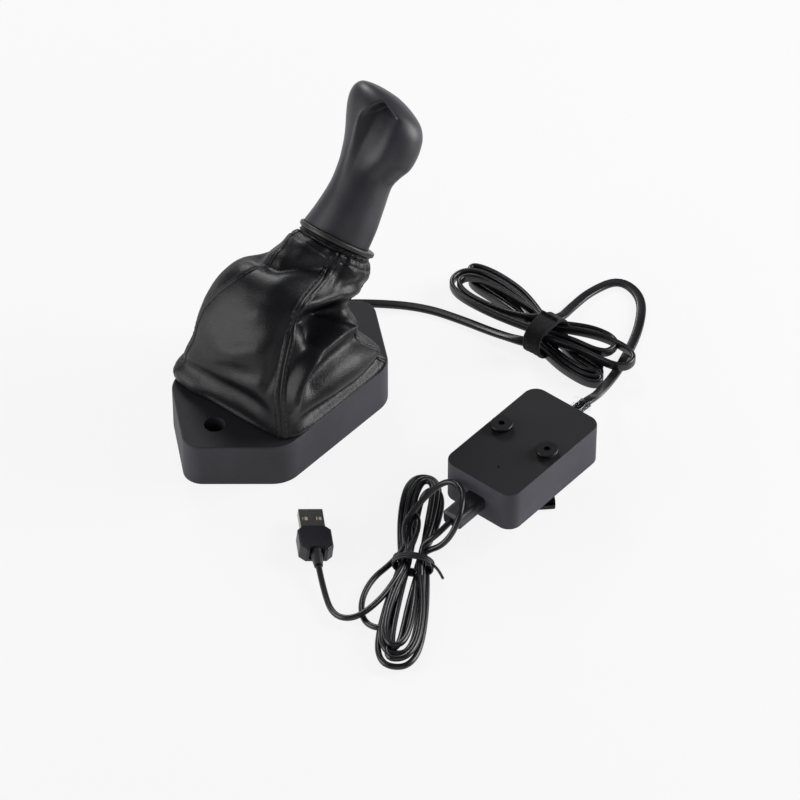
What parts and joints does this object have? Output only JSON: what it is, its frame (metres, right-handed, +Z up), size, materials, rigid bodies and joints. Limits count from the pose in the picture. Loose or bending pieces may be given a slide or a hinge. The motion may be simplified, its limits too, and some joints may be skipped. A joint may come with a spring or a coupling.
{
  "type": "sim racing handbrake",
  "caption": "Spring-returned handbrake lever in a leather gaiter on a screw-down base, with a USB control box on its cords.",
  "frame": {"origin": "centre of the base's underside, on the surface it stands on", "axes": "+Z up, +X along the base's long axis towards the side the lever leans to, +Y towards the signal jack's side"},
  "size_m": [0.2904, 0.2063, 0.1433],
  "materials": {
    "band_rubber": "matt black",
    "base_plastic": "matt black, finely grained",
    "box_plastic": "matt black",
    "bracket_steel": "zinc plated",
    "bright_metal": "bright tin plate",
    "bush_plastic": "natural",
    "chip_plastic": "matt black",
    "circuit_board": "green solder mask",
    "clear_plastic": "clear moulded",
    "collar_plastic": "satin black",
    "contact_gold": "gold plated",
    "cord_sheath": "satin black",
    "dark_steel": "black oxide",
    "frame_plastic": "matt black",
    "gaiter_leather": "soft black leather",
    "grip_plastic": "satin black",
    "header_plastic": "white",
    "hub_steel": "black",
    "jack_plastic": "black",
    "led_lens": "red lens",
    "magnet_metal": "nickel plated",
    "plug_plastic": "satin black",
    "shaft_steel": "turned",
    "spring_steel": "bright",
    "strap_fabric": "black hook-and-loop tape",
    "tie_plastic": "black coated wire"
  },
  "bodies": {
    "base": {"base_housing": "base_plastic", "base_plate": "base_plastic", "base_screws": "dark_steel", "base_signal_plug": "clear_plastic", "board_screws": "dark_steel", "box_cover": "box_plastic", "box_housing": "box_plastic", "box_jack": "jack_plastic", "box_screws": "dark_steel", "box_signal_plug": "clear_plastic", "bracket_screws": "dark_steel", "control_board": "circuit_board", "controller_chip": "chip_plastic", "crystal": "bright_metal", "frame_screws": "dark_steel", "gaiter": "gaiter_leather", "gaiter_frame": "frame_plastic", "hook_loop_strap": "strap_fabric", "micro_plug": "plug_plastic", "micro_socket": "bright_metal", "mounting_bolts": "dark_steel", "pivot_bracket": "bracket_steel", "pivot_bushes": "bush_plastic", "rest_stop": "band_rubber", "return_spring": "spring_steel", "sensor_board": "circuit_board", "sensor_chip": "chip_plastic", "sensor_header": "header_plastic", "sensor_leads": "cord_sheath", "signal_cable": "cord_sheath", "signal_hank": "cord_sheath", "signal_jack": "jack_plastic", "signal_loop": "cord_sheath", "slot_nuts": "dark_steel", "status_led": "led_lens", "twist_tie": "tie_plastic", "usb_contacts": "contact_gold", "usb_hank": "cord_sheath", "usb_loose_loop": "cord_sheath", "usb_plug_cover": "plug_plastic", "usb_plug_lead": "cord_sheath", "usb_plug_shell": "bright_metal", "usb_plug_tongue": "header_plastic", "usb_raised_loop": "cord_sheath", "usb_tail": "cord_sheath"},
    "lever": {"pivot_axle": "shaft_steel", "axle_clips": "dark_steel", "magnet_cup": "bush_plastic", "magnet": "magnet_metal", "lever_hub": "hub_steel", "grub_screw": "dark_steel", "lever_shaft": "shaft_steel", "collar_ring": "collar_plastic", "neck_band": "band_rubber", "grip": "grip_plastic"}
  },
  "joints": [
    {"name": "lever_pivot", "type": "hinge", "parent": "base", "child": "lever", "pos_m": [-0.0218, 0, 0.012], "axis": [0, 1, 0], "range_deg": [-20, 0], "stiffness_Nm_per_rad": 3, "springref_deg": 11.46, "deforming": ["return_spring", "gaiter"]}
  ]
}
